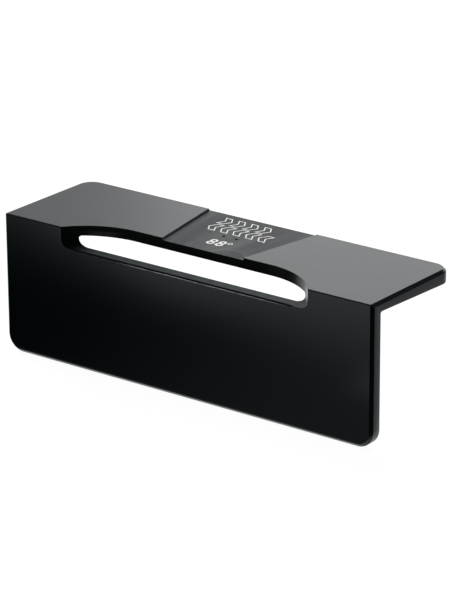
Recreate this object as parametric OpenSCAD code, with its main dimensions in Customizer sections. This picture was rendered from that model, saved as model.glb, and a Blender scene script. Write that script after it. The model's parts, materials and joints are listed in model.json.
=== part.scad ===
// Side-edge file guide for skis: a black anodised aluminium angle, milled from one piece.
// The front leg slides along the ski's base, a file is clamped under the top leg, and the inside
// angle is a few degrees under square. A window milled through the corner shows the steel edge.
// X runs along the guide, Y from the front face to the back, Z up. The origin is under the middle
// of the part, at the level of the front leg's bottom edge.

/* [Legs] */
// Length of the guide along the ski
guide_length = 100; // [80:1:160]
// Depth of the top leg, from the front face to its back edge
top_depth = 30; // [26:0.5:45]
// Height of the front leg, from its bottom edge to the top face
front_height = 32.5; // [24:0.5:50]
// Thickness of the front leg
front_wall = 3; // [2:0.1:5]
// Thickness of the top leg at its back edge
top_wall = 3.25; // [2.5:0.05:5]
// Degrees by which the inside angle is under square
edge_bevel = 2; // [1:1:3]
// Radius of the two free corners of each leg
leg_corner_r = 4; // [1:0.5:8]

/* [Edges] */
// Chamfer round the free edges of the two outer faces
edge_chamfer = 0.7; // [0.2:0.05:1]
// Narrow flat along the outer corner of the angle
corner_break = 0.2; // [0.1:0.05:0.6]
// Narrow flat that the mill's nose leaves in the inner corner
inner_flat = 0.3; // [0.2:0.1:1]

/* [Corner slot] */
// Length of the slot along the front face
slot_length = 67; // [50:1:76]
// Reach of the slot into the top leg, from the front face
slot_reach = 7.6; // [5:0.1:10]
// Drop of the slot's floor below the top face
slot_drop = 4.6; // [3.5:0.1:8]
// Radius of the disc mill that leaves the curved ends
mill_r = 19; // [14:0.5:24]
// Nose radius of the disc mill, left in the ends of the slot's floor
mill_nose_r = 1.7; // [1:0.1:3.4]
// Chamfer along the slot's lower rim on the front face
slot_rim = 0.45; // [0.1:0.05:0.6]

/* [Clamp seat] */
// Depth of the seat below the top face
seat_sink = 0.55; // [0.3:0.05:1]
// Width of the seat where it runs out into the slot
seat_front_w = 22; // [16:0.5:30]
// Width of the seat at the back edge
seat_back_w = 30; // [20:0.5:44]

/* [Index dots] */
// Diameter of a dot
dot_d = 1.1; // [0.6:0.1:2]
// Spacing of the dots along the guide
dot_pitch = 3.5; // [2.5:0.1:6]
// Distance of the dots behind the slot's back wall
dot_setback = 9.9; // [4:0.1:14]
// Depth of the drilled dimple below the seat's floor
dot_drill = 0.5; // [0.2:0.05:0.8]
// Depth of the enamel's surface below the seat's floor
dot_dip = 0.1; // [0.05:0.05:0.15]

/* [Hidden] */
$fn = 96;

// How far a cut runs past the face it opens
past = 1;

// Thickness of the top leg at the inner corner, where the underside meets the front leg
root_wall = top_wall - (top_depth - front_wall) * tan(edge_bevel);
// Level of the clamp seat's floor
seat_z = front_height - seat_sink;
// Sideways flare of each side of the clamp seat, for each millimetre towards the back
seat_flare = (seat_back_w - seat_front_w) / 2 / (top_depth - slot_reach);
// Distance of the disc mill's axis in front of the front face
mill_offset = mill_r - slot_reach;
// Half of the width that the disc mill cuts at the front face
mill_half_chord = sqrt(pow(mill_r, 2) - pow(mill_offset, 2));
// Half of that width at the slot's flat floor, inside the mill's round nose
floor_half_chord = sqrt(pow(mill_r - mill_nose_r, 2) - pow(mill_offset, 2));
// Radius of the rim's cone at the level of the slot's floor
rim_r = mill_offset + slot_rim;
// Length over which the chamfer on the slot's rim runs out at each end
rim_fade = sqrt(pow(rim_r, 2) - pow(mill_offset, 2));
// Travel of the disc mill's axis along the guide
mill_travel = slot_length - 2 * mill_half_chord;
// One dot for each degree off square
dot_count = edge_bevel;

// Shapes are drawn with the front face at y = 0, and this sets them over the origin
module centred() {
    translate([0, -top_depth / 2, 0])
        children();
}

// Turns an outline in y and z into a bar along x
module bar_along_x(length) {
    rotate([90, 0, 90])
        linear_extrude(length, center = true)
            children();
}

// Section of the angle: two square outer faces, a sloped underside and a narrow flat in the inner corner
module angle_section() {
    root_z = front_height - root_wall;

    polygon([
        [0, 0],
        [front_wall, 0],
        [front_wall, root_z - inner_flat],
        [front_wall + inner_flat, root_z - inner_flat * tan(edge_bevel)],
        [top_depth, front_height - top_wall],
        [top_depth, front_height],
        [corner_break, front_height],
        [0, front_height - corner_break]
    ]);
}

// Block behind an outer face at y = 0, rising from z = 0, with two round lower corners.
// A chamfer eases the face's sides, bottom and corners.
module eased_block(width, height, depth) {
    side = width / 2;
    eased = side - edge_chamfer;
    corner_x = side - leg_corner_r;

    translate([0, 0, leg_corner_r])
        linear_extrude(height - leg_corner_r)
            polygon([
                [-eased, 0],
                [eased, 0],
                [side, edge_chamfer],
                [side, depth],
                [-side, depth],
                [-side, edge_chamfer]
            ]);
    bar_along_x(2 * corner_x)
        polygon([
            [edge_chamfer, 0],
            [depth, 0],
            [depth, leg_corner_r],
            [0, leg_corner_r],
            [0, edge_chamfer]
        ]);
    for (x = [-corner_x, corner_x])
        translate([x, 0, leg_corner_r])
            rotate([-90, 0, 0]) {
                cylinder(h = edge_chamfer, r1 = leg_corner_r - edge_chamfer, r2 = leg_corner_r);
                translate([0, 0, edge_chamfer])
                    cylinder(h = depth - edge_chamfer, r = leg_corner_r);
            }
}

// The angle before the slot and the seat are milled
module angle_blank() {
    intersection() {
        bar_along_x(guide_length)
            angle_section();
        eased_block(guide_length, front_height + past, top_depth + past);
        translate([0, top_depth, front_height])
            rotate([-90, 0, 180])
                eased_block(guide_length, top_depth + past, front_height + past);
    }
}

// Half section of the disc mill, from its axis to its rim, with a round nose at the lower edge
module mill_half_section() {
    reach_up = slot_drop + past;

    square([mill_r - mill_nose_r, reach_up]);
    translate([0, mill_nose_r])
        square([mill_r, reach_up - mill_nose_r]);
    translate([mill_r - mill_nose_r, mill_nose_r])
        circle(mill_nose_r);
}

// Carries a round cutter's half section along the guide, as a bar with a full turn at each end
module run_along_x(travel) {
    bar_along_x(travel)
        children();
    for (x = [-travel / 2, travel / 2])
        translate([x, 0, 0])
            rotate_extrude()
                children();
}

// Sweep of the disc mill along the outer corner, then of a cone that eases the slot's lower rim.
// Both run on one line in front of the guide, and the cone runs out just before the floor turns up.
module corner_slot() {
    translate([0, -mill_offset, front_height - slot_drop]) {
        run_along_x(mill_travel)
            mill_half_section();
        run_along_x(mill_travel + 2 * (floor_half_chord - rim_fade - slot_rim))
            polygon([
                [0, -past],
                [rim_r - past, -past],
                [rim_r, 0],
                [rim_r, past],
                [0, past]
            ]);
    }
}

// Tapered pocket for the clamp's pad, open into the slot and at the back edge
module clamp_seat() {
    front_half = seat_front_w / 2 - seat_flare * past;
    back_half = seat_back_w / 2 + seat_flare * past;

    translate([0, 0, seat_z])
        linear_extrude(seat_sink + past)
            polygon([
                [-front_half, slot_reach - past],
                [front_half, slot_reach - past],
                [back_half, top_depth + past],
                [-back_half, top_depth + past]
            ]);
}

// Places a row of like shapes at the dots, on the floor of the clamp seat
module at_dots() {
    for (i = [0 : dot_count - 1])
        translate([(i - (dot_count - 1) / 2) * dot_pitch, slot_reach + dot_setback, seat_z])
            children();
}

module guide_body() {
    color([0.11, 0.12, 0.125])
        centred()
            difference() {
                angle_blank();
                corner_slot();
                clamp_seat();
                at_dots()
                    translate([0, 0, -dot_drill])
                        cylinder(h = dot_drill + past, d = dot_d);
            }
}

module index_dots() {
    color([0.04, 0.04, 0.04])
        centred()
            at_dots()
                translate([0, 0, -dot_drill])
                    cylinder(h = dot_drill - dot_dip, d = dot_d);
}

guide_body();
index_dots();
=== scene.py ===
import json
from math import cos, pi, radians, sin

import bmesh
import bpy
from mathutils import Matrix, Vector


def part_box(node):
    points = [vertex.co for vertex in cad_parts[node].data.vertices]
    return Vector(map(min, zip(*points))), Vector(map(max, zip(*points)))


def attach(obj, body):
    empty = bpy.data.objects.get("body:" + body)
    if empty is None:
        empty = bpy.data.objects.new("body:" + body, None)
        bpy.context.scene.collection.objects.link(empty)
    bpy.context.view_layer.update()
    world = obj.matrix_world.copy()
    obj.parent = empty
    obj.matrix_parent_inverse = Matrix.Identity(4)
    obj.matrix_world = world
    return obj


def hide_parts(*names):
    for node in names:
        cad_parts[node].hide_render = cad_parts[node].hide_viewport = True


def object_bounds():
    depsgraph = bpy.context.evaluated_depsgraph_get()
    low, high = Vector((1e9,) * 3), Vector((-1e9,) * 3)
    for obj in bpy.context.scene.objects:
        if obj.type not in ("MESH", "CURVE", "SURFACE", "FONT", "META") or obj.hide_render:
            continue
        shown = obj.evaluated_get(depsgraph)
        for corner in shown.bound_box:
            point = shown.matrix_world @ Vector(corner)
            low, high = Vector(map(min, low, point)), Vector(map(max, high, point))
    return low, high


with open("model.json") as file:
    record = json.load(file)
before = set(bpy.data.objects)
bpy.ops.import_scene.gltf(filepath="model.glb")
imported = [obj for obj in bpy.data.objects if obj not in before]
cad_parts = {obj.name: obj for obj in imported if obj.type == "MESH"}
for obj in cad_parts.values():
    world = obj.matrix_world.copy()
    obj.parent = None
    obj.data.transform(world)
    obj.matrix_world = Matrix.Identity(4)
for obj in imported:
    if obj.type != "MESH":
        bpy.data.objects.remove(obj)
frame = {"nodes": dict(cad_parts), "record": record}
cad_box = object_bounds()


# Guide body. A length of extruded aluminium angle, milled with a corner slot, a clamp seat and
# chamfers, then tumbled until the inner edges are round, blasted to an even satin and anodised
# black. It is one solid piece, and the two legs stand 88 degrees apart inside.
MM = 0.001
SEAT_Z = next(m["pos_m"][2] for m in frame["record"]["mounts"] if m["name"] == "clamp_seat")
DOTS_LOW, DOTS_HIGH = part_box("index_dots")
SLOT_LOW = Vector((-33.6, -14.95, 27.8)) * MM
SLOT_HIGH = Vector((33.6, -7.35, 32.48)) * MM
INNER_ROUND = 0.2 * MM
INNER_WEAR = 0.02
EDGE_EASE = 0.05 * MM
EDGE_WEAR = 0.015
MERGE_WITHIN = 0.01 * MM
FLAT_WITHIN = radians(0.3)
CRISP_FROM = radians(35)
SHADE_BREAK = radians(50)

# How much of a face's normal lies along an axis when the face is square to it, leans at about
# 45 degrees, or hardly turns to it
SQUARE = 0.99
LEANING = 0.6
HARDLY = 0.05


def is_inner(face):
    """Tells the inner sides of the two legs, and the narrow flat between them, from the rest."""
    middle = face.calc_center_median()
    front_leg = face.normal.y > SQUARE and middle.y < 0
    top_leg = face.normal.z < -SQUARE and middle.z > SEAT_Z / 2
    corner_flat = face.normal.y > LEANING and face.normal.z < -LEANING
    return front_leg or top_leg or corner_flat


def is_free_side(face):
    """Tells the ends and free edges of the legs, which turn away from the slot."""
    return face.normal.y > -HARDLY and face.normal.z < HARDLY and not is_inner(face)


def is_narrow_slope(face):
    """Tells the eased corner and the slot's rim, which lean to the front at 45 degrees."""
    return face.normal.y < -LEANING and face.normal.z > LEANING


def is_at_dots(edge):
    """Tells the edges of the dimples that hold the index dots."""
    middle = (edge.verts[0].co + edge.verts[1].co) / 2
    near = 0.1 * MM
    return all(DOTS_LOW[i] - near < middle[i] < DOTS_HIGH[i] + near for i in (0, 1))


def is_slot_cut(face):
    """Tells the faces that the disc mill cut: they lie in the slot and turn to the front or up."""
    middle = face.calc_center_median()
    inside = all(SLOT_LOW[i] < middle[i] < SLOT_HIGH[i] for i in range(3))
    return inside and (face.normal.y < -HARDLY or face.normal.z > HARDLY)


def is_seat_side(face):
    """Tells the two low steps beside the clamp seat, which stand upright and a little askew."""
    middle = face.calc_center_median()
    upright = abs(face.normal.z) < HARDLY
    askew = LEANING < abs(face.normal.x) < SQUARE
    return upright and askew and middle.z > SEAT_Z and middle.y > SLOT_HIGH.y


def show(name, mesh):
    """Sets a mesh in the scene as an object at the origin."""
    piece = bpy.data.objects.new(name, mesh)
    bpy.context.scene.collection.objects.link(piece)
    return piece


angle = bmesh.new()
angle.from_mesh(frame["nodes"]["guide_body"].data)
bmesh.ops.remove_doubles(angle, verts=angle.verts, dist=MERGE_WITHIN)
bmesh.ops.dissolve_limit(angle, angle_limit=FLAT_WITHIN, verts=angle.verts, edges=angle.edges)

wear_and_highlight = angle.faces.layers.float.new("worn_edge")
tumbled = [
    edge
    for edge in angle.edges
    if sum(is_inner(face) for face in edge.link_faces) == 1
    and any(is_free_side(face) for face in edge.link_faces)
]
eased = bmesh.ops.bevel(
    angle, geom=tumbled, offset=INNER_ROUND, segments=3, profile=0.5, affect="EDGES"
)
for face in eased["faces"]:
    face[wear_and_highlight] = INNER_WEAR
crisp = [
    edge
    for edge in angle.edges
    if edge.is_convex
    and edge.calc_face_angle() > CRISP_FROM
    and not is_at_dots(edge)
    and not any(is_narrow_slope(face) for face in edge.link_faces)
]
eased = bmesh.ops.bevel(
    angle, geom=crisp, offset=EDGE_EASE, segments=2, profile=0.5, affect="EDGES"
)
for face in eased["faces"]:
    face[wear_and_highlight] = EDGE_WEAR

# The slot's rim is split along its length: the lower strip gets a painted highlight in a bright
# bare-metal colour, the upper one does not
RIM_SPLIT = 0.3
RIM_SLACK = 0.2 * MM
SPLIT_WITHIN = 0.001 * MM
rim_faces = [
    face
    for face in angle.faces
    if is_narrow_slope(face) and face.calc_center_median().z < SLOT_LOW.z
]
rim_levels = [v.co.z for face in rim_faces for v in face.verts]
rim_parts = dict.fromkeys(part for face in rim_faces for part in (face, *face.edges, *face.verts))
rim_z = min(rim_levels) + RIM_SPLIT * (max(rim_levels) - min(rim_levels))
bmesh.ops.bisect_plane(
    angle, geom=list(rim_parts), plane_co=(0, 0, rim_z), plane_no=(0, 0, 1), dist=SPLIT_WITHIN
)

# Each face gets its finish, whether it is worn or carries a painted highlight, whether it was sawn,
# and how much of a paler colour it takes, partly for a coarser cut and partly as painted light. The
# slot's floor takes it, and the steps beside the seat take more.
EXTRUDED, SEAT, SLOT = 0, 1, 2
SEAT_SLACK = 0.02 * MM
FLOOR_TURN = 0.9
PALE_FROM = 0.1
PALE_FULL = 0.6
STEP_LIGHT_LIFT = 1.5
coarse_cut = angle.faces.layers.float.new("coarse_cut")
sawn_end = angle.faces.layers.float.new("sawn_end")
for face in angle.faces:
    middle = face.calc_center_median()
    face.smooth = True
    face.material_index = EXTRUDED
    if face.normal.z > SQUARE and abs(middle.z - SEAT_Z) < SEAT_SLACK:
        face.material_index = SEAT
    if is_slot_cut(face):
        face.material_index = SLOT
        # Painted light: slot faces that turn up are painted paler, the more they turn up, on the
        # floor and at the right end but not at the left end, which stays dark as painted shade
        if face.normal.z > FLOOR_TURN or middle.x > 0:
            upward = (face.normal.z - PALE_FROM) / (PALE_FULL - PALE_FROM)
            face[coarse_cut] = min(max(upward, 0.0), 1.0)
    # Painted light: the steps beside the seat, which lie in shade, are painted paler still
    if is_seat_side(face):
        face.material_index = SLOT
        face[coarse_cut] = STEP_LIGHT_LIFT
    if is_narrow_slope(face):
        # The lower strip of the rim gets a painted highlight, the upper one none
        face[wear_and_highlight] = 1.0 if middle.z < rim_z else 0.0
    face[sawn_end] = float(abs(face.normal.x) > SQUARE)
for edge in angle.edges:
    edge.smooth = edge.calc_face_angle() < SHADE_BREAK
    if any(is_narrow_slope(face) for face in edge.link_faces):
        below_slot = all(v.co.z < SLOT_LOW.z + RIM_SLACK for v in edge.verts)
        edge.smooth = below_slot and not any(face[coarse_cut] for face in edge.link_faces)
for v in angle.verts:
    v.co = [min(max(v.co[i], cad_box[0][i]), cad_box[1][i]) for i in range(3)]

angle_mesh = bpy.data.meshes.new("guide_angle")
angle.to_mesh(angle_mesh)
angle.free()
guide_angle = show("guide_angle", angle_mesh)
even_normals = guide_angle.modifiers.new("even_normals", "WEIGHTED_NORMAL")
even_normals.mode = "FACE_AREA"
even_normals.weight = 100
even_normals.keep_sharp = True


def start_material(name):
    """Starts a node material and gives back its tree and its Principled shader."""
    material = bpy.data.materials.new(name)
    material.use_nodes = True
    return material, material.node_tree, material.node_tree.nodes["Principled BSDF"]


def add(tree, kind, inputs=None, **options):
    """Adds a shader node, sets its options and feeds its inputs with values or other outputs."""
    node = tree.nodes.new("ShaderNode" + kind)
    for option, value in options.items():
        setattr(node, option, value)
    for socket, value in (inputs or {}).items():
        if isinstance(value, bpy.types.NodeSocket):
            tree.links.new(value, node.inputs[socket])
        else:
            node.inputs[socket].default_value = value
    return node


def maths(tree, operation, *values):
    """Adds one step of arithmetic and gives back its result."""
    return add(tree, "Math", dict(enumerate(values)), operation=operation).outputs[0]


def ramp(tree, value, start, end, low=0.0, high=1.0):
    """Eases from low to high as the value runs from start to end."""
    inputs = {"Value": value, "From Min": start, "From Max": end, "To Min": low, "To Max": high}
    return add(tree, "MapRange", inputs, interpolation_type="SMOOTHSTEP").outputs["Result"]


def noise(tree, vector, scale, detail=3.0):
    """Adds even noise, with its scale in features for each millimetre."""
    inputs = {"Vector": vector, "Scale": scale, "Detail": detail}
    return add(tree, "TexNoise", inputs).outputs["Fac"]


def blend(tree, factor, first, second):
    """Mixes two colours."""
    node = add(tree, "Mix", {0: factor, 6: first, 7: second}, data_type="RGBA")
    return node.outputs[2]


def millimetres(tree):
    """Gives the place on the piece in millimetres, as a vector and as x, y and z."""
    place = add(tree, "TexCoord").outputs["Object"]
    vector = add(tree, "VectorMath", {0: place, "Scale": 1 / MM}, operation="SCALE").outputs[0]
    axes = add(tree, "SeparateXYZ", {0: vector}).outputs
    return vector, axes[0], axes[1], axes[2]


def relief(tree, height, depth, under=None, strength=1.0):
    """Turns a height from 0 to 1 into relief of a depth in millimetres, over relief made before."""
    inputs = {"Height": height, "Strength": strength, "Distance": depth * MM}
    if under is not None:
        inputs["Normal"] = under
    return add(tree, "Bump", inputs).outputs["Normal"]


# Most values of a noise lie in the first span, and the middle ones in the second
NOISE_SPAN = (0.3, 0.7)
NOISE_MIDDLE = (0.35, 0.65)

# Dyed oxide: an even black with a faint cool cast, in clouds and specks, over blasted metal
DYE_DEEP = (0.0018, 0.0040, 0.0052, 1.0)
DYE_THIN = (0.0048, 0.0106, 0.0130, 1.0)
CLOUD_SCALE = 0.05
CLOUD_SHARE = 0.4
SPECK_SCALE = 2.2
SPECK_SHARE = 0.6
OXIDE_TINT = (0.945, 1.0, 1.045, 1.0)
OXIDE_IOR = 1.38
BLAST_SCALE = 2.6
BLAST_DEPTH = 0.0016


def dyed_oxide(tree, spot):
    """Colours the dyed oxide."""
    cloud = maths(tree, "MULTIPLY", noise(tree, spot, CLOUD_SCALE), CLOUD_SHARE)
    speck = maths(tree, "MULTIPLY", noise(tree, spot, SPECK_SCALE), SPECK_SHARE)
    thin = ramp(tree, maths(tree, "ADD", cloud, speck), *NOISE_MIDDLE)
    return blend(tree, thin, DYE_DEEP, DYE_THIN)


def blasted(tree, spot, under):
    """Adds the fine grain that blasting leaves."""
    return relief(tree, noise(tree, spot, BLAST_SCALE), BLAST_DEPTH, under)


# Extruded faces: faint die lines along the guide, a front face that handling has rubbed smoother,
# worn edges, a painted highlight in a bright bare-metal colour along the lower strip of the slot's
# rim, and sawn ends that roll off a little towards the inner sides
FRONT_Y = -15.0
FRONT_FADE = 0.1
FRONT_POLISH = 0.0825
INNER_SIDE_Y = -12.0
UNDERSIDE_Z = 30.19
UNDERSIDE_SLOPE = 0.0349
ROLL_WIDTH = 1.9
ROLL_DROP = 0.2
PATCH_SCALE = 0.35
PATCH_SPAN = (0.3, 0.6)
PATCH_LEAST = 0.4
BRIGHT_EDGE_MIDDLE = 5.0
BRIGHT_EDGE_HALF = 14.0
BRIGHT_EDGE_FADE = 11.0
BRIGHT_EDGE_LEAST = 0.1
BARE_AND_HIGHLIGHT_COLOUR = (0.62, 0.63, 0.63, 1.0)
DIE_STRETCH = (0.015, 1.0, 1.0)
DIE_SCALE = 2.6
DIE_DEPTH = 0.0001
EXTRUDED_ROUGH = (0.29, 0.305)
anodised, tree, shader = start_material("black_anodised_finish")
spot, x, y, z = millimetres(tree)
wear_and_highlight_share = add(tree, "Attribute", attribute_name="worn_edge").outputs["Fac"]
on_end = add(tree, "Attribute", attribute_name="sawn_end").outputs["Fac"]
patchy = ramp(tree, noise(tree, spot, PATCH_SCALE, detail=4.0), *PATCH_SPAN, PATCH_LEAST, 1.0)
from_bright_middle = maths(tree, "ABSOLUTE", maths(tree, "SUBTRACT", x, BRIGHT_EDGE_MIDDLE))
along_bright_edges = ramp(tree, from_bright_middle, BRIGHT_EDGE_HALF, BRIGHT_EDGE_HALF + BRIGHT_EDGE_FADE, 1.0, BRIGHT_EDGE_LEAST)
# Bare metal colour on worn edges, and a painted highlight on the lower strip of the slot's rim
bare_and_highlight = maths(tree, "MULTIPLY", maths(tree, "MULTIPLY", wear_and_highlight_share, patchy), along_bright_edges)
drawn = add(tree, "VectorMath", {0: spot, 1: DIE_STRETCH}, operation="MULTIPLY").outputs[0]
die_lines = noise(tree, drawn, DIE_SCALE, detail=4.0)
from_inner = maths(tree, "SUBTRACT", INNER_SIDE_Y, y)
underside = maths(tree, "MULTIPLY_ADD", from_inner, UNDERSIDE_SLOPE, UNDERSIDE_Z)
from_edge = maths(tree, "MAXIMUM", from_inner, maths(tree, "SUBTRACT", z, underside))
near_edge = maths(tree, "SUBTRACT", 1.0, maths(tree, "DIVIDE", from_edge, ROLL_WIDTH))
roll = maths(tree, "MAXIMUM", near_edge, 0.0)
roll = maths(tree, "MULTIPLY", maths(tree, "MULTIPLY", roll, roll), on_end)
normal = relief(tree, maths(tree, "SUBTRACT", 1.0, roll), ROLL_DROP)
normal = relief(tree, die_lines, DIE_DEPTH, normal)
on_front = ramp(tree, y, FRONT_Y + FRONT_FADE, FRONT_Y)
finish = ramp(tree, die_lines, *NOISE_SPAN, *EXTRUDED_ROUGH)
finish = maths(tree, "MULTIPLY_ADD", on_front, -FRONT_POLISH, finish)
tree.links.new(blend(tree, bare_and_highlight, dyed_oxide(tree, spot), BARE_AND_HIGHLIGHT_COLOUR), shader.inputs["Base Color"])
tree.links.new(finish, shader.inputs["Roughness"])
tree.links.new(blasted(tree, spot, normal), shader.inputs["Normal"])
shader.inputs["IOR"].default_value = OXIDE_IOR
shader.inputs["Specular Tint"].default_value = OXIDE_TINT
angle_mesh.materials.append(anodised)

# Clamp seat: streaks of the end mill that fan out with the seat's sides, a clean middle pass over
# the front half, the ring where the cutter came down, and along each side a strip painted paler,
# as painted light that lifts the shade beside the steps
SEAT_FLARE = 0.1786
SEAT_MIDDLE_HALF = 12.32
LANE_STRETCH = 0.012
STREAK_SCALE = 5.0
STREAK_SHINE = 0.3
SIDE_STREAK = 1.9
SIDE_STREAK_FADE = (0.2, 1.1)
SIDE_STREAK_SHINE = 0.35
PASS_LEFT = (-5.5, -5.1)
PASS_RIGHT = (5.7, 6.3)
PASS_END = (4.0, 8.0)
PASS_SHINE = 0.4
CUTTER_DOWN = (6.4, -7.8, 0.0)
CUTTER_R = 4.4
CUTTER_EDGE = 0.4
CUTTER_FEED = 0.3
CUTTER_SHINE = -0.25
CUTTER_RING_FADE = (0.15, 0.6)
CUTTER_RING_SHINE = 0.35
FEED_DEPTH = 0.0003
SEAT_DULL = 0.50
SEAT_BRIGHT = 0.37
SIDE_LIFT_WIDTH = 1.7
SIDE_LIFT_SHARE = 0.65
PALE_AND_LIT_DYE = (0.090, 0.098, 0.100, 1.0)


def feed_marks(tree, along, off_axis, radius, feed):
    """Makes the row of arcs that a round cutter leaves on its way."""
    reach = maths(tree, "SUBTRACT", radius * radius, maths(tree, "MULTIPLY", off_axis, off_axis))
    rim = maths(tree, "SQRT", maths(tree, "MAXIMUM", reach, 0.0))
    turns = maths(tree, "MULTIPLY", maths(tree, "ADD", along, rim), 2 * pi / feed)
    return maths(tree, "MULTIPLY_ADD", maths(tree, "SINE", turns), 0.5, 0.5)


milled_seat, tree, shader = start_material("milled_seat_finish")
spot, x, y = millimetres(tree)[:3]
half_width = maths(tree, "MULTIPLY_ADD", y, SEAT_FLARE, SEAT_MIDDLE_HALF)
across = maths(tree, "DIVIDE", x, half_width)
along = maths(tree, "MULTIPLY", y, LANE_STRETCH)
lane = add(tree, "CombineXYZ", {0: across, 1: along}).outputs[0]
streaks = ramp(tree, noise(tree, lane, STREAK_SCALE), *NOISE_MIDDLE)
from_left = maths(tree, "ADD", x, half_width)
off_streak = maths(tree, "ABSOLUTE", maths(tree, "SUBTRACT", from_left, SIDE_STREAK))
side_streak = ramp(tree, off_streak, *SIDE_STREAK_FADE, 1.0, 0.0)
middle_pass = maths(
    tree, "MULTIPLY", ramp(tree, x, *PASS_LEFT), ramp(tree, x, *PASS_RIGHT, 1.0, 0.0)
)
middle_pass = maths(tree, "MULTIPLY", middle_pass, ramp(tree, y, *PASS_END, 1.0, 0.0))
flat_spot = add(tree, "CombineXYZ", {0: x, 1: y}).outputs[0]
from_cutter = add(
    tree, "VectorMath", {0: flat_spot, 1: CUTTER_DOWN}, operation="DISTANCE"
).outputs["Value"]
off_ring = maths(tree, "ABSOLUTE", maths(tree, "SUBTRACT", from_cutter, CUTTER_R))
ring = ramp(tree, off_ring, *CUTTER_RING_FADE, 1.0, 0.0)
under_cutter = ramp(tree, from_cutter, CUTTER_R - CUTTER_EDGE, CUTTER_R, 1.0, 0.0)
shine = maths(tree, "MULTIPLY", streaks, STREAK_SHINE)
shine = maths(tree, "MULTIPLY_ADD", middle_pass, PASS_SHINE, shine)
shine = maths(tree, "MULTIPLY_ADD", under_cutter, CUTTER_SHINE, shine)
shine = maths(tree, "MULTIPLY_ADD", ring, CUTTER_RING_SHINE, shine)
shine = maths(tree, "MULTIPLY_ADD", side_streak, SIDE_STREAK_SHINE, shine)
finish = add(tree, "MapRange", {"Value": shine, "To Min": SEAT_DULL, "To Max": SEAT_BRIGHT})
off_lane = maths(tree, "WRAP", x, CUTTER_R, -CUTTER_R)
normal = relief(tree, feed_marks(tree, y, off_lane, CUTTER_R, CUTTER_FEED), FEED_DEPTH)
# Painted light: a strip along each side is painted paler, lifting the shade beside the steps
to_side = maths(tree, "SUBTRACT", half_width, maths(tree, "ABSOLUTE", x))
side_lift = ramp(tree, to_side, 0.0, SIDE_LIFT_WIDTH, SIDE_LIFT_SHARE, 0.0)
colour = blend(tree, side_lift, dyed_oxide(tree, spot), PALE_AND_LIT_DYE)
tree.links.new(colour, shader.inputs["Base Color"])
tree.links.new(finish.outputs["Result"], shader.inputs["Roughness"])
tree.links.new(blasted(tree, spot, normal), shader.inputs["Normal"])
shader.inputs["IOR"].default_value = OXIDE_IOR
shader.inputs["Specular Tint"].default_value = OXIDE_TINT
angle_mesh.materials.append(milled_seat)

# Slot: feed marks of the disc mill; a floor painted paler, partly a coarser cut and partly painted
# light that grows towards the right and gives way to painted shade at the left end; and a wall
# painted darker as painted shade, that is dull but for its right end and a glint near its left end
MILL_AXIS_Y = -26.4
MILL_R = 19.0
MILL_FEED = 0.35
SLOT_FLOOR_SCALE = 0.5
SLOT_FLOOR_UNEVEN = (0.8, 1.0)
SLOT_FLOOR_ENDS = (-34.0, 34.0)
SLOT_FLOOR_PALE = (0.58, 0.93)
SLOT_FLOOR_START = (-32.0, -26.0)
SLOT_FLOOR_DULL = 0.3
SLOT_WALL_SCALE = 1.2
SLOT_WALL_ROUGH = (0.17, 0.22)
SLOT_WALL_DULL = 0.4
SLOT_WALL_BRIGHT = (14.0, 26.0)
GLINT_X = -26.0
GLINT_FADE = (1.0, 5.0)
GLINT_TOP = (30.9, 31.6)
GLINT_DULL = -0.05
PAINTED_SHADE_SHARE = 0.8
SLOT_IOR = 1.2
BLACK = (0.0, 0.0, 0.0, 1.0)
milled_slot, tree, shader = start_material("milled_slot_finish")
spot, x, y, z = millimetres(tree)
paler_share = add(tree, "Attribute", attribute_name="coarse_cut").outputs["Fac"]
off_axis = maths(tree, "SUBTRACT", y, MILL_AXIS_Y)
normal = relief(tree, feed_marks(tree, x, off_axis, MILL_R, MILL_FEED), FEED_DEPTH)
# Painted light: the floor's paler colour grows towards the right and gives way to painted shade near
# its left end
paleness = ramp(tree, noise(tree, spot, SLOT_FLOOR_SCALE), *NOISE_SPAN, *SLOT_FLOOR_UNEVEN)
to_right = ramp(tree, x, *SLOT_FLOOR_ENDS, *SLOT_FLOOR_PALE)
paleness = maths(tree, "MULTIPLY", paleness, to_right)
paleness = maths(tree, "MULTIPLY", paleness, ramp(tree, x, *SLOT_FLOOR_START))
paleness = maths(tree, "MULTIPLY", paleness, paler_share)
# Painted shade: the slot's faces are painted darker than the rest of the oxide
shaded_dye = blend(tree, PAINTED_SHADE_SHARE, dyed_oxide(tree, spot), BLACK)
colour = blend(tree, paleness, shaded_dye, PALE_AND_LIT_DYE)
from_glint = maths(tree, "ABSOLUTE", maths(tree, "SUBTRACT", x, GLINT_X))
beside_glint = ramp(tree, from_glint, *GLINT_FADE, GLINT_DULL, SLOT_WALL_DULL)
above_glint = ramp(tree, z, *GLINT_TOP, GLINT_DULL, SLOT_WALL_DULL)
off_glint = maths(tree, "MAXIMUM", beside_glint, above_glint)
off_bright_end = ramp(tree, x, *SLOT_WALL_BRIGHT, SLOT_WALL_DULL, 0.0)
dulled = maths(tree, "MINIMUM", off_bright_end, off_glint)
finish = ramp(tree, noise(tree, spot, SLOT_WALL_SCALE), *NOISE_SPAN, *SLOT_WALL_ROUGH)
finish = maths(tree, "ADD", finish, dulled)
finish = maths(tree, "MULTIPLY_ADD", paler_share, SLOT_FLOOR_DULL, finish)
tree.links.new(colour, shader.inputs["Base Color"])
tree.links.new(finish, shader.inputs["Roughness"])
tree.links.new(blasted(tree, spot, normal), shader.inputs["Normal"])
shader.inputs["IOR"].default_value = SLOT_IOR
shader.inputs["Specular Tint"].default_value = OXIDE_TINT
angle_mesh.materials.append(milled_slot)

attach(guide_angle, "root")
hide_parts("guide_body")


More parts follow.
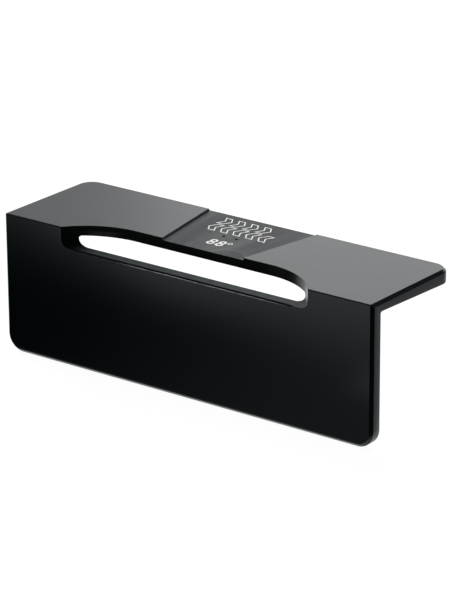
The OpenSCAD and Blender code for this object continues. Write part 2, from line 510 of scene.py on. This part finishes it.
# Index dots. Two drops of black enamel, one for each degree off square, run into drilled dimples
# in the clamp seat. The enamel creeps up the dimple's wall and dries to a hollow.
DOT_COUNT = 2
DOT_R = (DOTS_HIGH.y - DOTS_LOW.y) / 2
DOT_PITCH = DOTS_HIGH.x - DOTS_LOW.x - 2 * DOT_R
DOT_MIDDLE = ((DOTS_LOW.x + DOTS_HIGH.x) / 2, (DOTS_LOW.y + DOTS_HIGH.y) / 2, SEAT_Z)
DOT_SIDES = 32
DOT_GAP = 0.006 * MM
DOT_HOLLOW = (
    (0.0, -0.30), (0.30, -0.27), (0.50, -0.17), (0.66, -0.07), (0.80, -0.03), (1.0, -0.02)
)
DOT_SMOOTH_FROM = 0.3
ENAMEL_DARK = (0.005, 0.005, 0.005, 1.0)
ENAMEL_PALE = (0.010, 0.010, 0.010, 1.0)
ENAMEL_SCALE = 4.0
ENAMEL_ROUGH = (0.34, 0.44)
ENAMEL_SKIN_DEPTH = 0.004
ENAMEL_IOR = 1.42


def turn(profile, sides):
    """Turns a profile of radius and height about Z into a closed mesh, from its top to its foot."""
    shape = bmesh.new()
    steps = [2 * pi * i / sides for i in range(sides)]
    rings = []
    for radius, height in profile:
        if radius == 0:
            rings.append([shape.verts.new((0, 0, height))])
        else:
            rings.append([shape.verts.new((radius * cos(a), radius * sin(a), height)) for a in steps])
    for upper, lower in zip(rings, rings[1:]):
        for i in range(sides):
            j = (i + 1) % sides
            corners = [upper[i % len(upper)], lower[i % len(lower)]]
            corners += [lower[j % len(lower)], upper[j % len(upper)]]
            shape.faces.new(list(dict.fromkeys(corners)))
    bmesh.ops.recalc_face_normals(shape, faces=shape.faces)
    return shape


def start_row_tree():
    """Makes the tree that sets like shapes in a row along the guide, and joins them in one mesh."""
    tree = bpy.data.node_groups.new("row_along_guide", "GeometryNodeTree")
    kinds = {
        "Shape": "Geometry",
        "Count": "Int",
        "Pitch": "Float",
        "Middle": "Vector",
        "Turn": "Float",
        "Finish": "Material",
    }
    sockets = {
        name: tree.interface.new_socket(name, in_out="INPUT", socket_type="NodeSocket" + kind)
        for name, kind in kinds.items()
    }
    tree.interface.new_socket("Row", in_out="OUTPUT", socket_type="NodeSocketGeometry")
    given = tree.nodes.new("NodeGroupInput").outputs
    result = tree.nodes.new("NodeGroupOutput")
    last = maths(tree, "SUBTRACT", given["Count"], 1.0)
    half = maths(tree, "MULTIPLY", maths(tree, "MULTIPLY", last, given["Pitch"]), -0.5)
    back = add(tree, "CombineXYZ", {0: half}).outputs[0]
    start = add(tree, "VectorMath", {0: given["Middle"], 1: back}, operation="ADD").outputs[0]
    step = add(tree, "CombineXYZ", {0: given["Pitch"]}).outputs[0]
    points = tree.nodes.new("GeometryNodeMeshLine")
    points.mode = "OFFSET"
    tree.links.new(given["Count"], points.inputs["Count"])
    tree.links.new(start, points.inputs["Start Location"])
    tree.links.new(step, points.inputs["Offset"])
    facing = tree.nodes.new("FunctionNodeEulerToRotation")
    tree.links.new(add(tree, "CombineXYZ", {2: given["Turn"]}).outputs[0], facing.inputs[0])
    placed = tree.nodes.new("GeometryNodeInstanceOnPoints")
    tree.links.new(points.outputs[0], placed.inputs["Points"])
    tree.links.new(given["Shape"], placed.inputs["Instance"])
    tree.links.new(facing.outputs[0], placed.inputs["Rotation"])
    joined = tree.nodes.new("GeometryNodeRealizeInstances")
    tree.links.new(placed.outputs[0], joined.inputs[0])
    finished = tree.nodes.new("GeometryNodeSetMaterial")
    tree.links.new(joined.outputs[0], finished.inputs["Geometry"])
    tree.links.new(given["Finish"], finished.inputs["Material"])
    tree.links.new(finished.outputs[0], result.inputs[0])
    return tree, {name: socket.identifier for name, socket in sockets.items()}


ROW_TREE, ROW_INPUTS = start_row_tree()


def lay_row(name, shape, count, pitch, middle, turned, finish):
    """Lays copies of a shape in a row, and gives them back as one plain mesh."""
    single = bpy.data.meshes.new(name + "_single")
    shape.to_mesh(single)
    shape.free()
    single.materials.append(finish)
    piece = show(name, single)
    row = piece.modifiers.new("row", "NODES")
    row.node_group = ROW_TREE
    row[ROW_INPUTS["Count"]] = count
    row[ROW_INPUTS["Pitch"]] = pitch
    row[ROW_INPUTS["Middle"]] = middle
    row[ROW_INPUTS["Turn"]] = turned
    row[ROW_INPUTS["Finish"]] = finish
    ready = piece.evaluated_get(bpy.context.evaluated_depsgraph_get())
    mesh = bpy.data.meshes.new_from_object(ready)
    mesh.name = name
    piece.modifiers.remove(row)
    piece.data = mesh
    bpy.data.meshes.remove(single)
    return piece


enamel, tree, shader = start_material("black_enamel_finish")
spot = millimetres(tree)[0]
drying = noise(tree, spot, ENAMEL_SCALE)
tree.links.new(blend(tree, drying, ENAMEL_DARK, ENAMEL_PALE), shader.inputs["Base Color"])
tree.links.new(ramp(tree, drying, *NOISE_SPAN, *ENAMEL_ROUGH), shader.inputs["Roughness"])
tree.links.new(relief(tree, drying, ENAMEL_SKIN_DEPTH, strength=0.1), shader.inputs["Normal"])
shader.inputs["IOR"].default_value = ENAMEL_IOR

dot_rim = DOT_R - DOT_GAP
dot_foot = DOTS_LOW.z - SEAT_Z + DOT_GAP
dot_profile = [(share * dot_rim, height * MM) for share, height in DOT_HOLLOW]
dot_profile += [(dot_rim, dot_foot), (0.0, dot_foot)]
drop = turn(dot_profile, DOT_SIDES)
for face in drop.faces:
    face.smooth = face.normal.z > DOT_SMOOTH_FROM
enamel_drops = lay_row("enamel_drops", drop, DOT_COUNT, DOT_PITCH, DOT_MIDDLE, 0.0, enamel)
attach(enamel_drops, "root")
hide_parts("index_dots")


# Angle number. The inside angle in degrees, pad-printed in white ink on the clamp seat in front of
# the dots: two heavy figures and a thin ring.
FIGURES_LOW = Vector((-2.6, -3.35))
FIGURES_HIGH = Vector((1.68, -0.1))
FIGURES_SIZE = 5.0
FIGURES_WEIGHT = 0.07
FIGURES_SPACING = 1.16
FIGURES_STEPS = 6
FIGURES_DEPTH = 0.5
FIGURES_MERGE = 0.001
RING_MIDDLE = Vector((2.5, -0.75))
RING_OUTER = 0.62
RING_INNER = 0.39
RING_SIDES = 40
INK_RISE = 0.02 * MM
INK_WORN = (0.45, 0.45, 0.45, 1.0)
INK_GREY = (0.74, 0.74, 0.73, 1.0)
INK_WHITE = (0.84, 0.84, 0.83, 1.0)
INK_COVER_SCALE = 3.5
INK_COVER_SPAN = (0.24, 0.4)
INK_TONE_SCALE = 0.8
INK_ROUGH = (0.6, 0.42)
INK_GRAIN_SCALE = 9.0
INK_GRAIN_DEPTH = 0.004

ink, tree, shader = start_material("white_ink_finish")
spot = millimetres(tree)[0]
cover = ramp(tree, noise(tree, spot, INK_COVER_SCALE, detail=4.0), *INK_COVER_SPAN)
tone = blend(tree, noise(tree, spot, INK_TONE_SCALE, detail=2.0), INK_GREY, INK_WHITE)
tree.links.new(blend(tree, cover, INK_WORN, tone), shader.inputs["Base Color"])
tree.links.new(ramp(tree, cover, 0.0, 1.0, *INK_ROUGH), shader.inputs["Roughness"])
ink_grain = noise(tree, spot, INK_GRAIN_SCALE, detail=2.0)
tree.links.new(relief(tree, ink_grain, INK_GRAIN_DEPTH, strength=0.15), shader.inputs["Normal"])

number_text = bpy.data.curves.new("angle_figures", "FONT")
number_text.body = "88"
number_text.size = FIGURES_SIZE
number_text.offset = FIGURES_WEIGHT
number_text.space_character = FIGURES_SPACING
number_text.resolution_u = FIGURES_STEPS
number_text.extrude = FIGURES_DEPTH
text_object = show("angle_figures", number_text)
ready = text_object.evaluated_get(bpy.context.evaluated_depsgraph_get())
figures_mesh = bpy.data.meshes.new_from_object(ready)
bpy.data.objects.remove(text_object)
bpy.data.curves.remove(number_text)

figures = bmesh.new()
figures.from_mesh(figures_mesh)
bpy.data.meshes.remove(figures_mesh)
bmesh.ops.remove_doubles(figures, verts=figures.verts, dist=FIGURES_MERGE)
low = Vector([min(v.co[i] for v in figures.verts) for i in range(3)])
high = Vector([max(v.co[i] for v in figures.verts) for i in range(3)])
for v in figures.verts:
    for i in (0, 1):
        share = (v.co[i] - low[i]) / (high[i] - low[i])
        v.co[i] = (FIGURES_LOW[i] + share * (FIGURES_HIGH[i] - FIGURES_LOW[i])) * MM
    v.co.z = SEAT_Z + (INK_RISE if v.co.z > 0 else -INK_RISE)

ring_section = (
    (RING_OUTER, INK_RISE), (RING_INNER, INK_RISE), (RING_INNER, -INK_RISE), (RING_OUTER, -INK_RISE)
)
ring_loops = []
for radius, rise in ring_section:
    loop = []
    for i in range(RING_SIDES):
        turned = 2 * pi * i / RING_SIDES
        ring_x = (RING_MIDDLE.x + radius * cos(turned)) * MM
        ring_y = (RING_MIDDLE.y + radius * sin(turned)) * MM
        loop.append(figures.verts.new((ring_x, ring_y, SEAT_Z + rise)))
    ring_loops.append(loop)
for k, one in enumerate(ring_loops):
    two = ring_loops[(k + 1) % len(ring_loops)]
    for i in range(RING_SIDES):
        j = (i + 1) % RING_SIDES
        figures.faces.new((one[i], one[j], two[j], two[i]))
bmesh.ops.recalc_face_normals(figures, faces=figures.faces)
number_mesh = bpy.data.meshes.new("angle_number")
figures.to_mesh(number_mesh)
figures.free()
number_mesh.materials.append(ink)
angle_number = show("angle_number", number_mesh)
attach(angle_number, "root")


# Stroke arrows. Two rows of outlined arrows in the same white ink behind the dots: one row points
# each way, because the guide is pushed and pulled along the edge.
ARROW_OUTLINE = ((-1.55, 2.0), (0.35, 2.0), (1.55, 0.0), (0.35, -2.0), (-1.55, -2.0), (-0.5, 0.0))
ARROW_LINE = 0.27 * MM
PUSH_COUNT = 4
PUSH_PITCH = 3.55 * MM
PUSH_MIDDLE = (-1.87 * MM, 10.75 * MM, SEAT_Z)
PULL_COUNT = 5
PULL_PITCH = 3.41 * MM
PULL_MIDDLE = (-0.37 * MM, 6.3 * MM, SEAT_Z)


def arrow():
    """Makes one outlined arrow that points along the guide."""
    shape = bmesh.new()
    corners = [shape.verts.new((px * MM, py * MM, INK_RISE)) for px, py in ARROW_OUTLINE]
    middle = shape.faces.new(reversed(corners))
    middle.normal_update()
    bmesh.ops.inset_region(
        shape, faces=[middle], thickness=ARROW_LINE, use_even_offset=True, use_boundary=True
    )
    bmesh.ops.delete(shape, geom=[middle], context="FACES_ONLY")
    grown = bmesh.ops.extrude_face_region(shape, geom=list(shape.faces))
    for item in grown["geom"]:
        if isinstance(item, bmesh.types.BMVert):
            item.co.z = -INK_RISE
    bmesh.ops.recalc_face_normals(shape, faces=shape.faces)
    return shape


push_arrows = lay_row("push_arrows", arrow(), PUSH_COUNT, PUSH_PITCH, PUSH_MIDDLE, 0.0, ink)
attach(push_arrows, "root")
pull_arrows = lay_row("pull_arrows", arrow(), PULL_COUNT, PULL_PITCH, PULL_MIDDLE, pi, ink)
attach(pull_arrows, "root")


# Floor. A plain pale table that shows as white, also in the guide's satin faces, and keeps the
# guide's shadow.
FLOOR_HALF = 2.4
FLOOR_COLOUR = (0.8, 0.8, 0.8, 1.0)
FLOOR_UNDER_GLOW = (0.09, 0.09, 0.09, 1.0)
FLOOR_GLOW = 0.965
floor_shape = bmesh.new()
bmesh.ops.create_grid(floor_shape, x_segments=1, y_segments=1, size=FLOOR_HALF)
floor_mesh = bpy.data.meshes.new("pale_floor")
floor_shape.to_mesh(floor_mesh)
floor_shape.free()
pale, tree, shader = start_material("pale_floor_finish")
tree.nodes.remove(shader)
path = add(tree, "LightPath").outputs
seen = maths(tree, "MAXIMUM", path["Is Camera Ray"], path["Is Glossy Ray"])
seen = maths(tree, "MAXIMUM", seen, path["Is Transmission Ray"])
cast = add(tree, "BsdfDiffuse", {"Color": blend(tree, seen, FLOOR_COLOUR, FLOOR_UNDER_GLOW)})
glow = add(tree, "Emission", {"Strength": maths(tree, "MULTIPLY", seen, FLOOR_GLOW)})
both = add(tree, "AddShader", {0: cast.outputs[0], 1: glow.outputs[0]})
tree.links.new(both.outputs[0], tree.nodes["Material Output"].inputs["Surface"])
floor_mesh.materials.append(pale)
show("pale_floor", floor_mesh)


# Dark card. A black card on the table in front of the guide, which the camera doesn't see and which
# turns clear towards the front and the right. It is painted shade: a dark sheet that stands in for
# the shade on the table near the guide's foot. The front face mirrors it, so that it falls off to its
# foot and to the left, and the right-hand chamfer goes black.
CARD_LOW = Vector((-400.0, -420.0))
CARD_HIGH = Vector((400.0, -16.0))
CARD_LIFT = 0.3

# Its pattern, in millimetres on the table: the part near the guide thins from left to right, the
# part beyond is clear, the right part turns clear sooner, and the far right stays black
NEAR_ENDS = (-66.0, 56.0)
NEAR_CLEAR = 0.236
FAR_SLOPE = 0.405
FAR_START = -43.8
FADE_SLOPE = 0.95
FADE_WIDTH = 52.0
FADE_LEAST = 7.0
FAR_CLEAR = 0.99
RIGHT_ENDS = (16.0, 32.0)
RIGHT_FADE = (-30.0, -50.0)
RIGHT_CLEAR = 0.86
BLACK_FROM = (48.0, 53.0)
card_shape = bmesh.new()
bmesh.ops.create_grid(card_shape, x_segments=1, y_segments=1, size=0.5)
for v in card_shape.verts:
    for i in (0, 1):
        v.co[i] = (CARD_LOW[i] + (v.co[i] + 0.5) * (CARD_HIGH[i] - CARD_LOW[i])) * MM
    v.co.z = CARD_LIFT * MM
card_mesh = bpy.data.meshes.new("dark_card")
card_shape.to_mesh(card_mesh)
card_shape.free()
card_black, tree, shader = start_material("dark_card_finish")
tree.nodes.remove(shader)
x, y = millimetres(tree)[1:3]
near_clear = ramp(tree, x, *NEAR_ENDS, 0.0, NEAR_CLEAR)
far_start = maths(tree, "MULTIPLY_ADD", x, FAR_SLOPE, FAR_START)
fade_width = maths(tree, "MULTIPLY_ADD", x, FADE_SLOPE, FADE_WIDTH)
fade_width = maths(tree, "MAXIMUM", fade_width, FADE_LEAST)
far_end = maths(tree, "SUBTRACT", far_start, fade_width)
clear_share = ramp(tree, y, far_start, far_end, near_clear, FAR_CLEAR)
right_clear = ramp(tree, y, *RIGHT_FADE, 0.0, RIGHT_CLEAR)
right_clear = maths(tree, "MULTIPLY", ramp(tree, x, *RIGHT_ENDS), right_clear)
clear_share = maths(tree, "MAXIMUM", clear_share, right_clear)
clear_share = maths(tree, "MULTIPLY", clear_share, ramp(tree, x, *BLACK_FROM, 1.0, 0.0))
clear = add(tree, "BsdfTransparent")
dark = add(tree, "Emission", {"Strength": 0.0})
mixed = add(tree, "MixShader", {0: clear_share, 1: dark.outputs[0], 2: clear.outputs[0]})
tree.links.new(mixed.outputs[0], tree.nodes["Material Output"].inputs["Surface"])
card_mesh.materials.append(card_black)
dark_card = show("dark_card", card_mesh)
dark_card.visible_camera = False
dark_card.visible_transmission = False
dark_card.visible_shadow = False


# Side cards. A grey card on the table behind the right end, two upright black ones on the camera's
# side and a sloped one over the back right. The camera doesn't see them, but they hide the walls
# from the guide, and so hold down its right end, its chamfers and its slot.
GREY_CORNERS = ((54, -8, 0.3), (330, -8, 0.3), (330, 330, 0.3), (54, 330, 0.3))
GREY_SHARE = 0.53
UPRIGHT_CORNERS = ((190, -430, 1), (560, 20, 1), (560, 20, 420), (190, -430, 420))
UPRIGHT_SHARE = 0.98
FRONT_CORNERS = ((-620, -60, 1), (190, -430, 1), (190, -430, 320), (-620, -60, 320))
FRONT_SHARE = 0.97
OVERHEAD_CORNERS = ((60, 420, 95), (520, 180, 95), (330, 60, 520), (40, 200, 520))
OVERHEAD_SHARE = 0.9


def side_card(name, corners, share):
    """Sets up a card that the camera doesn't see, and that hides a share of what lies behind it."""
    shape = bmesh.new()
    shape.faces.new([shape.verts.new(Vector(corner) * MM) for corner in corners])
    mesh = bpy.data.meshes.new(name)
    shape.to_mesh(mesh)
    shape.free()
    material, tree, shader = start_material(name + "_finish")
    tree.nodes.remove(shader)
    clear = add(tree, "BsdfTransparent", {"Color": (1 - share, 1 - share, 1 - share, 1.0)})
    tree.links.new(clear.outputs[0], tree.nodes["Material Output"].inputs["Surface"])
    mesh.materials.append(material)
    card = show(name, mesh)
    card.visible_camera = False
    card.visible_transmission = False
    card.visible_shadow = False


side_card("grey_card", GREY_CORNERS, GREY_SHARE)
side_card("upright_card", UPRIGHT_CORNERS, UPRIGHT_SHARE)
side_card("front_card", FRONT_CORNERS, FRONT_SHARE)
side_card("overhead_card", OVERHEAD_CORNERS, OVERHEAD_SHARE)


# Studio light. Pale walls up to 18 degrees that fade into a dark ceiling, a wide soft box from the
# back left, a lamp overhead, and a reflector behind the guide that only its satin faces mirror.
WALL_TOP = sin(radians(18))
WALL_LIGHT = 1.0
CEILING_FOOT = sin(radians(34))
CEILING_LIGHT = 0.06
WHITE = (1.0, 1.0, 1.0, 1.0)
world = bpy.data.worlds.new("studio")
world.use_nodes = True
bpy.context.scene.world = world
tree = world.node_tree
direction = add(tree, "TexCoord").outputs["Generated"]
height = add(tree, "SeparateXYZ", {0: direction}).outputs[2]
level = ramp(tree, height, WALL_TOP, CEILING_FOOT, WALL_LIGHT, CEILING_LIGHT)
tree.links.new(level, tree.nodes["Background"].inputs["Strength"])
tree.nodes["Background"].inputs["Color"].default_value = WHITE

KEY_AZIMUTH = radians(-52)
KEY_ELEVATION = radians(42)
KEY_DISTANCE = 0.9
KEY_AIM = (0.0, 0.0, 0.015)
KEY_SIZE = (0.8, 0.4)
KEY_POWER = 8.0
REFLECTOR_PLACE = (-0.094, 0.35, 0.2)
REFLECTOR_AIM = (-0.024, 0.0, 0.03)
REFLECTOR_SIZE = (0.38, 0.3)
REFLECTOR_POWER = 0.368
TOP_PLACE = (0.1, 0.0, 0.9)
TOP_AIM = (0.0, 0.0, 0.0)
TOP_SIZE = (0.4, 0.3)
TOP_POWER = 2.4


def soft_light(name, place, aim, size, power):
    """Hangs a rectangular lamp that points at a spot and doesn't show to the camera."""
    lamp = bpy.data.lights.new(name, "AREA")
    lamp.shape = "RECTANGLE"
    lamp.size, lamp.size_y = size
    lamp.energy = power
    hung = bpy.data.objects.new(name, lamp)
    facing = (Vector(aim) - Vector(place)).to_track_quat("-Z", "Y")
    hung.matrix_world = Matrix.Translation(place) @ facing.to_matrix().to_4x4()
    hung.visible_camera = False
    bpy.context.scene.collection.objects.link(hung)
    return hung


key_level = cos(KEY_ELEVATION)
key_way = Vector((sin(KEY_AZIMUTH) * key_level, cos(KEY_AZIMUTH) * key_level, sin(KEY_ELEVATION)))
soft_box = soft_light("soft_box", key_way * KEY_DISTANCE, KEY_AIM, KEY_SIZE, KEY_POWER)
soft_box.visible_glossy = False
reflector = soft_light(
    "reflector", REFLECTOR_PLACE, REFLECTOR_AIM, REFLECTOR_SIZE, REFLECTOR_POWER
)
reflector.visible_diffuse = False
top_light = soft_light("top_light", TOP_PLACE, TOP_AIM, TOP_SIZE, TOP_POWER)
top_light.visible_glossy = False


# Camera. A long lens from the front right, a little above the guide.
VIEW_AZIMUTH = radians(37.294)
VIEW_ELEVATION = radians(20.366)
VIEW_ROLL = radians(-0.329)
CAMERA_PLACE = Vector((401.734, -526.903, 264.216)) * MM
eye = bpy.data.cameras.new("camera")
eye.lens = 193.75
eye.sensor_width = 36.0
eye.sensor_fit = "AUTO"
eye.clip_start = 0.02
camera = bpy.data.objects.new("camera", eye)
camera.matrix_world = (
    Matrix.Translation(CAMERA_PLACE)
    @ Matrix.Rotation(VIEW_AZIMUTH, 4, "Z")
    @ Matrix.Rotation(pi / 2 - VIEW_ELEVATION, 4, "X")
    @ Matrix.Rotation(VIEW_ROLL, 4, "Z")
)
bpy.context.scene.collection.objects.link(camera)
bpy.context.scene.camera = camera
bpy.context.scene.view_settings.view_transform = "Standard"
